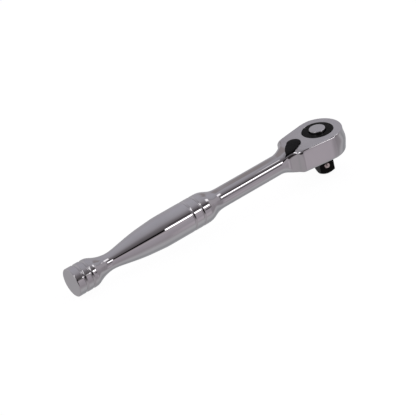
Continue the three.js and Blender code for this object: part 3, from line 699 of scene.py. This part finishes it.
# ---------------------------------------------------------------- what holds the gear in
ready(ring("cover_washer_fine", [(8.3, 16.95), (11.6, 16.95), (11.6, 18.1), (8.3, 18.1), (8.3, 16.95)], 0.14, 144), BRIGHT, "body", "cover_washer", 40)
a0 = math.radians(14)
outer = arc(0, 0, 12.25, a0, 2 * math.pi - a0, 132)
inner = arc(0, 0, 10.5, 2 * math.pi - a0 * 1.9, a0 * 1.9, 120)
lug = lambda s: [(x, s * y) for x, y in ((9.6, 4.45), (9.0, 4.1), (8.6, 3.4), (8.5, 2.9), (8.8, 2.4), (9.3, 2.2))]
snap = prism("snap_ring_fine", [*outer, *lug(-1)[::-1], *inner, *lug(1)], 15.65, 16.7, 0.09, 2)
for s in (-1, 1):
    boolean(snap, lathe("c", [(0, 15), (0.45, 15), (0.45, 18), (0, 18)], 32, 9.55, s * 3.2))
ready(tidy(snap), BRIGHT, "body", "snap_ring", 40)

n = 192
verts, faces = [], []
for k in range(n):
    a = 2 * math.pi * k / n
    zc = 18.5 + 0.14 * math.cos(3 * a)
    for r, dz in ((8.45, -0.16), (10.9, -0.16), (10.9, 0.16), (8.45, 0.16)):
        verts.append((r * math.cos(a), r * math.sin(a), zc + dz))
for k in range(n):
    for j in range(4):
        faces.append((4 * k + j, 4 * ((k + 1) % n) + j, 4 * ((k + 1) % n) + (j + 1) % 4, 4 * k + (j + 1) % 4))
ready(tidy(from_data("wave_washer_fine", verts, faces)), SPRING, "body", "wave_washer", 40)

pin = rounded([(0, 13.9), (1.0, 13.9), (1.0, 26.8), (0, 26.8)], [0.16, 0.2], 3)
ready(lathe("pawl_pin_fine", pin, 48, PAWL_X), BRIGHT, "body", "pawl_pin", 40)


# ---------------------------------------------------------------- the reversing lever
def lever_outline():
    shape = [(2.0, 4.05), (3.6, 4.02), (5.0, 3.86), (6.75, 3.5), (8.4, 3.08), (10.2, 2.45), (11.7, 1.82), (12.9, 1.22), (13.7, 0.66)]
    side = [(u, float(pchip(shape, u))) for u in np.linspace(2.0, 13.45, 30)]
    u0, v0 = side[-1]
    tip = []
    for b in np.linspace(0, math.pi / 2, 8)[1:]:
        tip.append((u0 + (14.0 - u0) * math.sin(b), v0 * math.cos(b)))
    half = side + tip
    back = arc(0, 0, LEVER_HUB_R, math.pi * 0.36, math.pi * 1.64, 48)
    first = half[0]
    blend = []
    for q in np.linspace(0, 1, 5)[1:-1]:
        p = np.array(back[0]) * (1 - q) + np.array(first) * q
        blend.append(tuple(p))
    half = blend + half
    pts = [*back, *[(u, -v) for u, v in half], *[(u, v) for u, v in half[:-1][::-1]]]
    # even out the outline
    p = np.array([*pts, pts[0]])
    s = np.concatenate([[0], np.cumsum(np.linalg.norm(np.diff(p, axis=0), axis=1))])
    t = np.linspace(0, s[-1], 161)[:-1]
    q = np.stack([np.interp(t, s, p[:, 0]), np.interp(t, s, p[:, 1])], 1)
    for _ in range(2):
        q = 0.5 * q + 0.25 * (np.roll(q, 1, 0) + np.roll(q, -1, 0))
    return q


def lever():
    q = lever_outline()
    n = len(q)
    d = np.roll(q, -1, 0) - np.roll(q, 1, 0)
    d /= np.linalg.norm(d, axis=1)[:, None]
    inward = np.stack([-d[:, 1], d[:, 0]], 1)
    if (inward * (np.array([3.0, 0]) - q)).sum() < 0:
        inward = -inward
    r = 0.34
    crown = 0.16
    rings = [(q + inward * 0.1, LEVER_LOW), (q, LEVER_LOW + 0.1), (q, LEVER_HIGH - crown - r)]
    for b in np.linspace(0, math.pi / 2, 6)[1:]:
        rings.append((q + inward * r * (1 - math.cos(b)), LEVER_HIGH - crown - r + r * math.sin(b)))
    edge = q + inward * r
    spine = np.clip(edge[:, 0], -1.0, 10.5)
    centre = np.stack([spine, np.zeros(n)], 1)
    for f in (0.12, 0.3, 0.5, 0.7, 0.88, 0.98):
        rings.append((edge * (1 - f) + centre * f, LEVER_HIGH - crown * (1 - f) ** 2))
    verts, faces = [], []
    for p, z in rings:
        verts += [(x, y, z) for x, y in p]
    for j in range(len(rings) - 1):
        for i in range(n):
            k = (i + 1) % n
            faces.append((j * n + i, j * n + k, (j + 1) * n + k, (j + 1) * n + i))
    faces.append(tuple(range(n))[::-1])
    top = (len(rings) - 1) * n
    faces.append(tuple(range(top, top + n)))
    ob = from_data("reverse_lever_fine", verts, faces)
    turn(ob, Matrix.Translation((LEVER_X, 0, 0)) @ Matrix.Rotation(math.pi + LEVER_TURN, 4, "Z"))
    tidy(ob)
    shaft = rounded(
        [(0, 14.1), (2.3, 14.1), (2.3, 14.9), (1.8, 14.9), (1.8, 15.5), (2.3, 15.5), (2.3, 26.9), (1.65, 26.9), (1.65, 27.75), (2.3, 27.75), (2.3, 29.1), (0, 29.1)],
        [0.2, 0.05, 0.05, 0.05, 0.05, 0.08, 0.05, 0.05, 0.08, 0], 3,
    )
    boolean(ob, lathe("c", shaft, 72, LEVER_X), "UNION")
    bore = lathe("c", [(0, -1.7), (0.88, -1.7), (0.88, 4.3), (0, 4.3)], 32)
    turn(bore, Matrix.Translation((LEVER_X, 0, PLUNGER_Z)) @ Matrix.Rotation(LEVER_TURN, 4, "Z") @ Matrix.Rotation(math.radians(90), 4, "Y"))
    boolean(ob, bore)
    return tidy(ob)


ready(lever(), BLACK, "lever", "reverse_lever", 36)
along = Matrix.Translation((LEVER_X, 0, PLUNGER_Z)) @ Matrix.Rotation(LEVER_TURN, 4, "Z") @ Matrix.Rotation(math.radians(90), 4, "Y")
nose = [(0, 0.35), (0.72, 0.35), (0.8, 0.43), (0.8, 2.2), (0.72, 2.42), (0.56, 2.6), (0.32, 2.74), (0, 2.8)]
ready(turn(lathe("lever_plunger_fine", nose, 48), along), BRIGHT, "plunger", "lever_plunger", 35)
t = np.linspace(0, 1, 129)
a = t * 4 * 2 * math.pi
low, high = -1.66 + 0.13, 0.3 - 0.13
coil = tube("plunger_spring_fine", np.stack([0.52 * np.cos(a), 0.52 * np.sin(a), low + (high - low) * t], 1), 0.13, 10)
ready(turn(coil, along), SPRING, "lever", "plunger_spring", 50)
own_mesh(coil)
ready(torus("lever_o_ring_fine", 2.02, 0.31, LEVER_X, 27.32), RUBBER, "lever", "lever_o_ring", 180)
a0 = math.radians(26)
clip = [*arc(0, 0, 3.6, a0, 2 * math.pi - a0, 72), *arc(0, 0, 1.86, 2 * math.pi - a0 * 1.3, a0 * 1.3, 60)]
clip = [(x + LEVER_X, y) for x, y in turned_about(clip, 0, 0, math.pi + LEVER_TURN)]
ready(prism("lever_retaining_ring_fine", clip, 14.95, 15.45, 0.07, 2), BRIGHT, "lever", "lever_retaining_ring", 40)


# ---------------------------------------------------------------- the pawl
def polar(r, degrees):
    return (-r * math.cos(math.radians(degrees)), r * math.sin(math.radians(degrees)))


def pawl():
    engaged = [polar(12.05, 19)]
    for a in (25, 35):
        engaged += [polar(11.55, a - 3.7), polar(10.4, a - 0.55), polar(10.4, a + 0.55), polar(11.55, a + 3.7)]
    engaged += [polar(11.6, 41.5), polar(14.1, 41.5)]
    arm = turned_about(engaged, PAWL_X, 0, PAWL_ROCK)
    tip = PLUNGER_REACH - PLUNGER_R
    path = []
    for i in range(9):
        u = 1.15 * i / 8
        x, y = LEVER_X + tip * math.cos(LEVER_TURN * u), tip * math.sin(LEVER_TURN * u)
        r = PAWL_ROCK * u
        dx = x - PAWL_X
        path.append((PAWL_X + dx * math.cos(r) - y * math.sin(r), dx * math.sin(r) + y * math.cos(r)))
    back = []
    for i, (x, y) in enumerate(path):
        ax, ay = path[max(i - 1, 0)]
        bx, by = path[min(i + 1, 8)]
        l = math.hypot(bx - ax, by - ay)
        nx, ny = (1, 0) if i == 0 else ((by - ay) / l, -(bx - ax) / l)
        back.append((max(x + nx * (PLUNGER_R + 0.1), -16.6), y + ny * (PLUNGER_R + 0.1)))
    plus = [(-12.2, 0), polar(12.25, 10), *arm, (back[-1][0], back[-1][1] + 0.7), *back[::-1]]
    minus = [(x, -y) for x, y in plus[1:-1][::-1]]
    outline = turned_about([*plus, *minus], PAWL_X, 0, -PAWL_ROCK)
    ob = prism("pawl_fine", outline, 19.1, 25.2, 0.06, 2)
    boolean(ob, lathe("c", [(0, 18), (1.06, 18), (1.06, 26.5), (0, 26.5)], 48, PAWL_X))
    return tidy(ob)


ready(pawl(), BRIGHT, "pawl", "pawl", 35)


# ---------------------------------------------------------------- floor and light
def only_seen_by(ob, **kinds):
    for kind in ("camera", "diffuse", "glossy", "transmission", "volume_scatter", "shadow"):
        setattr(ob, "visible_" + kind, bool(kinds.get(kind, False)))


def linear(v):
    v /= 255
    return v / 12.92 if v <= 0.04045 else ((v + 0.055) / 1.055) ** 2.4


MIRROR = 0.70  # what the plating gives back


def seen(r, g, b):
    """The light that shows as this colour in the plating."""
    return tuple(linear(c) / MIRROR for c in (r, g, b))


# The floor carries the tool on its drive tip and its knob. It is light from above and clear from below.
slope = math.atan(12.5 / 179.4)
floor = from_data("floor", [(-3, -3, 0), (3, -3, 0), (3, 3, 0), (-3, 3, 0)], [(0, 1, 2, 3)])
floor.data.transform(Matrix.Translation((-0.0043, 0, -0.00006)) @ Matrix.Rotation(slope, 4, "Y"))
m = bpy.data.materials.new("pale_floor")
m.use_nodes = True
nt = m.node_tree
nt.nodes.clear()
out = nt.nodes.new("ShaderNodeOutputMaterial")
mix = nt.nodes.new("ShaderNodeMixShader")
geo = nt.nodes.new("ShaderNodeNewGeometry")
clear = nt.nodes.new("ShaderNodeBsdfTransparent")
add = nt.nodes.new("ShaderNodeAddShader")
dif = nt.nodes.new("ShaderNodeBsdfDiffuse")
dif.inputs["Color"].default_value = (0.16, 0.16, 0.16, 1)
glow = nt.nodes.new("ShaderNodeEmission")
glow.inputs["Color"].default_value = (1, 1, 1, 1)
glow.inputs["Strength"].default_value = 0.95
nt.links.new(dif.outputs[0], add.inputs[0])
nt.links.new(glow.outputs[0], add.inputs[1])
nt.links.new(geo.outputs["Backfacing"], mix.inputs[0])
nt.links.new(add.outputs[0], mix.inputs[1])
nt.links.new(clear.outputs[0], mix.inputs[2])
nt.links.new(mix.outputs[0], out.inputs[0])
floor.data.materials.append(m)
only_seen_by(floor, camera=True)

# A white backdrop all round, seen by the camera alone.
bm = bmesh.new()
bmesh.ops.create_uvsphere(bm, u_segments=32, v_segments=16, radius=6)
me = bpy.data.meshes.new("backdrop")
bm.to_mesh(me)
bm.free()
backdrop = bpy.data.objects.new("backdrop", me)
scene.collection.objects.link(backdrop)
m = bpy.data.materials.new("white_backdrop")
m.use_nodes = True
nt = m.node_tree
nt.nodes.clear()
out = nt.nodes.new("ShaderNodeOutputMaterial")
glow = nt.nodes.new("ShaderNodeEmission")
glow.inputs["Strength"].default_value = 1.05
nt.links.new(glow.outputs[0], out.inputs[0])
me.materials.append(m)
only_seen_by(backdrop, camera=True)

# The studio: a soft grey room, darker behind the main lamp, set by direction.
world = bpy.data.worlds.new("studio")
scene.world = world
world.use_nodes = True
nt = world.node_tree
nt.nodes.clear()
out = nt.nodes.new("ShaderNodeOutputWorld")
bg = nt.nodes.new("ShaderNodeBackground")
nt.links.new(bg.outputs[0], out.inputs[0])
co = nt.nodes.new("ShaderNodeTexCoord")
sep = nt.nodes.new("ShaderNodeSeparateXYZ")
nt.links.new(co.outputs["Generated"], sep.inputs[0])


def math_node(nt, op, a, b=None):
    m = nt.nodes.new("ShaderNodeMath")
    m.operation = op
    for i, v in enumerate((a, b)):
        if v is None:
            continue
        if isinstance(v, (int, float)):
            m.inputs[i].default_value = v
        else:
            nt.links.new(v, m.inputs[i])
    return m.outputs[0]


angle = math_node(nt, "ARCTAN2", sep.outputs["Z"], math_node(nt, "MULTIPLY", sep.outputs["Y"], -1.0))
turn01 = math_node(nt, "ADD", math_node(nt, "DIVIDE", angle, 2 * math.pi), 0.5)
at = lambda degrees: (degrees + 180) / 360
# (angle about the handle from the horizon in front, colour in the plating)
FRONT = [
    (-180, (148, 146, 150)), (-120, (143, 143, 146)), (-92, (131, 131, 134)), (-70, (151, 150, 153)), (-56, (155, 153, 156)),
    (-42, (142, 138, 142)), (-30, (135, 129, 134)), (-12, (142, 136, 142)), (6, (146, 140, 146)), (16, (158, 151, 156)), (21.5, (128, 121, 125)),
    (23.8, (8, 6, 7)), (33.8, (4, 3, 4)), (37, (78, 73, 76)), (48, (94, 90, 93)), (58, (104, 100, 104)), (68, (126, 122, 127)),
    (80, (141, 138, 144)), (97, (147, 145, 151)), (125, (151, 149, 156)), (147, (149, 146, 152)), (180, (148, 146, 150)),
]
BACK = [
    (-180, (154, 152, 153)), (-146, (147, 145, 148)), (-100, (139, 136, 139)), (-60, (144, 139, 143)), (-28, (144, 139, 143)), (-17, (114, 109, 112)),
    (-9, (40, 36, 38)), (20, (34, 31, 32)), (29, (78, 74, 77)), (38, (110, 106, 110)), (55, (102, 99, 103)), (70, (119, 116, 121)),
    (90, (128, 125, 130)), (115, (142, 139, 144)), (145, (158, 155, 160)), (180, (154, 152, 153)),
]
lay = lambda rows: [(at(d), seen(*c)) for d, c in rows]
front = ramp(nt, turn01, lay(FRONT))
rear = ramp(nt, turn01, lay(BACK))


def smooth_step(nt, value, a, b):
    m = nt.nodes.new("ShaderNodeMapRange")
    m.interpolation_type = "SMOOTHSTEP"
    m.inputs["From Min"].default_value = a
    m.inputs["From Max"].default_value = b
    nt.links.new(value, m.inputs["Value"])
    return m.outputs["Result"]


def mix_color(nt, fac, a, b):
    m = nt.nodes.new("ShaderNodeMix")
    m.data_type = "RGBA"
    nt.links.new(fac, m.inputs[0])
    for socket, v in ((m.inputs[6], a), (m.inputs[7], b)):
        if isinstance(v, tuple):
            socket.default_value = (*v, 1)
        else:
            nt.links.new(v, socket)
    return m.outputs[2]


both = mix_color(nt, smooth_step(nt, sep.outputs["X"], -0.12, 0.04), rear, front)


def patch(color, tone, centre, half, x_range, soft=(4, 0.05), level=1.0):
    """Adds a soft-edged area of one tone: centre and half height in degrees about the handle, and a range along it."""
    c = math.radians(centre)
    d = math_node(nt, "ABSOLUTE", math_node(nt, "SUBTRACT", angle, c))
    s = math.radians(soft[0])
    a = smooth_step(nt, d, math.radians(half) + s / 2, math.radians(half) - s / 2)
    lo = smooth_step(nt, sep.outputs["X"], x_range[0] - soft[1] / 2, x_range[0] + soft[1] / 2)
    hi = smooth_step(nt, sep.outputs["X"], x_range[1] + soft[1] / 2, x_range[1] - soft[1] / 2)
    f = math_node(nt, "MULTIPLY", math_node(nt, "MULTIPLY", a, lo), math_node(nt, "MULTIPLY", hi, level))
    return mix_color(nt, f, color, seen(*tone))


both = patch(both, (146, 141, 146), 38, 28, (0.68, 2.0), (14, 0.1))
both = patch(both, (24, 20, 22), 8.5, 4.5, (0.445, 0.72), (6, 0.04), 0.9)
both = patch(both, (246, 243, 247), 70, 10, (0.55, 0.745), (8, 0.07), 0.95)
both = patch(both, (118, 113, 117), -17, 30, (0.58, 0.93), (22, 0.1), 0.55)
both = patch(both, (255, 253, 255), 76, 17, (-1.4, -0.76), (9, 0.1), 0.75)
nt.links.new(both, bg.inputs["Color"])
bg.inputs["Strength"].default_value = 1.0


# Lamps and dark flags at a studio's distance, seen in the plating and lighting the black parts.
def card(name, x_at, degrees, distance, width, height, tone, edge=0.12, aim=(-0.09, -0.006, 0.027), roll=0.0, level=1.0, lights=True):
    side = math.sqrt(1 - x_at * x_at)
    d = Vector((x_at, -side * math.cos(math.radians(degrees)), side * math.sin(math.radians(degrees))))
    ob = from_data(name, [(-width / 2, -height / 2, 0), (width / 2, -height / 2, 0), (width / 2, height / 2, 0), (-width / 2, height / 2, 0)], [(0, 1, 2, 3)])
    uv = ob.data.uv_layers.new(name="UVMap")
    for i, c in enumerate(((0, 0), (1, 0), (1, 1), (0, 1))):
        uv.data[i].uv = c
    # its width runs along the handle's own axis
    zax = -d
    xax = (Vector((1, 0, 0)) - zax * zax.x).normalized()
    yax = zax.cross(xax)
    rot = Matrix((xax, yax, zax)).transposed().to_4x4() @ Matrix.Rotation(math.radians(roll), 4, "Z")
    ob.matrix_world = Matrix.Translation(Vector(aim) + d * distance) @ rot
    m = bpy.data.materials.new(name)
    m.use_nodes = True
    nt = m.node_tree
    nt.nodes.clear()
    out = nt.nodes.new("ShaderNodeOutputMaterial")
    mix = nt.nodes.new("ShaderNodeMixShader")
    glow = nt.nodes.new("ShaderNodeEmission")
    clear = nt.nodes.new("ShaderNodeBsdfTransparent")
    tc = nt.nodes.new("ShaderNodeTexCoord")
    sp = nt.nodes.new("ShaderNodeSeparateXYZ")
    nt.links.new(tc.outputs["UV"], sp.inputs[0])
    f = None
    for axis, share in (("X", edge * height / width), ("Y", edge)):
        d2 = math_node(nt, "ABSOLUTE", math_node(nt, "SUBTRACT", sp.outputs[axis], 0.5))
        g = smooth_step(nt, d2, 0.5, 0.5 - max(share, 0.01))
        f = g if f is None else math_node(nt, "MULTIPLY", f, g)
    if level < 1:
        f = math_node(nt, "MULTIPLY", f, level)
    glow.inputs["Color"].default_value = (*seen(*tone), 1)
    nt.links.new(f, mix.inputs[0])
    nt.links.new(clear.outputs[0], mix.inputs[1])
    nt.links.new(glow.outputs[0], mix.inputs[2])
    nt.links.new(mix.outputs[0], out.inputs[0])
    ob.data.materials.append(m)
    only_seen_by(ob, glossy=True, diffuse=lights)
    return ob


main = card("main_lamp", 0.472, 28.6, 1.1, 0.462, 0.225, (350, 345, 350), 0.2)
bar = card("dark_bar", 0.47, 46.0, 1.2, 0.36, 0.17, (40, 35, 38), 0.45, level=0.9)

# Two small panels close to the head: a pale one facing its side, a narrow dark one by the nose.
card("side_panel", 0.25, -29.0, 0.3, 0.15, 0.17, (156, 149, 155), 0.35, aim=(-0.009, -0.0135, 0.0212), lights=False)
card("nose_panel", 0.56, 2.0, 0.25, 0.022, 0.13, (84, 78, 80), 0.2, aim=(0.006, -0.013, 0.0225), level=0.65, lights=False)
card("corner_panel", -0.66, 70.0, 0.25, 0.08, 0.07, (330, 326, 330), 0.2, aim=(-0.026, -0.011, 0.027), lights=False)
card("neck_panel", 0.48, 67.5, 0.16, 0.044, 0.031, (235, 232, 236), 0.45, aim=(-0.034, -0.003, 0.026), level=0.85, lights=False)
card("tint_panel", 0.47, 131.0, 0.12, 0.074, 0.135, (106, 94, 87), 0.22, aim=(-0.056, 0.0, 0.0265), level=0.52, lights=False)

a, b = CAD_BOX
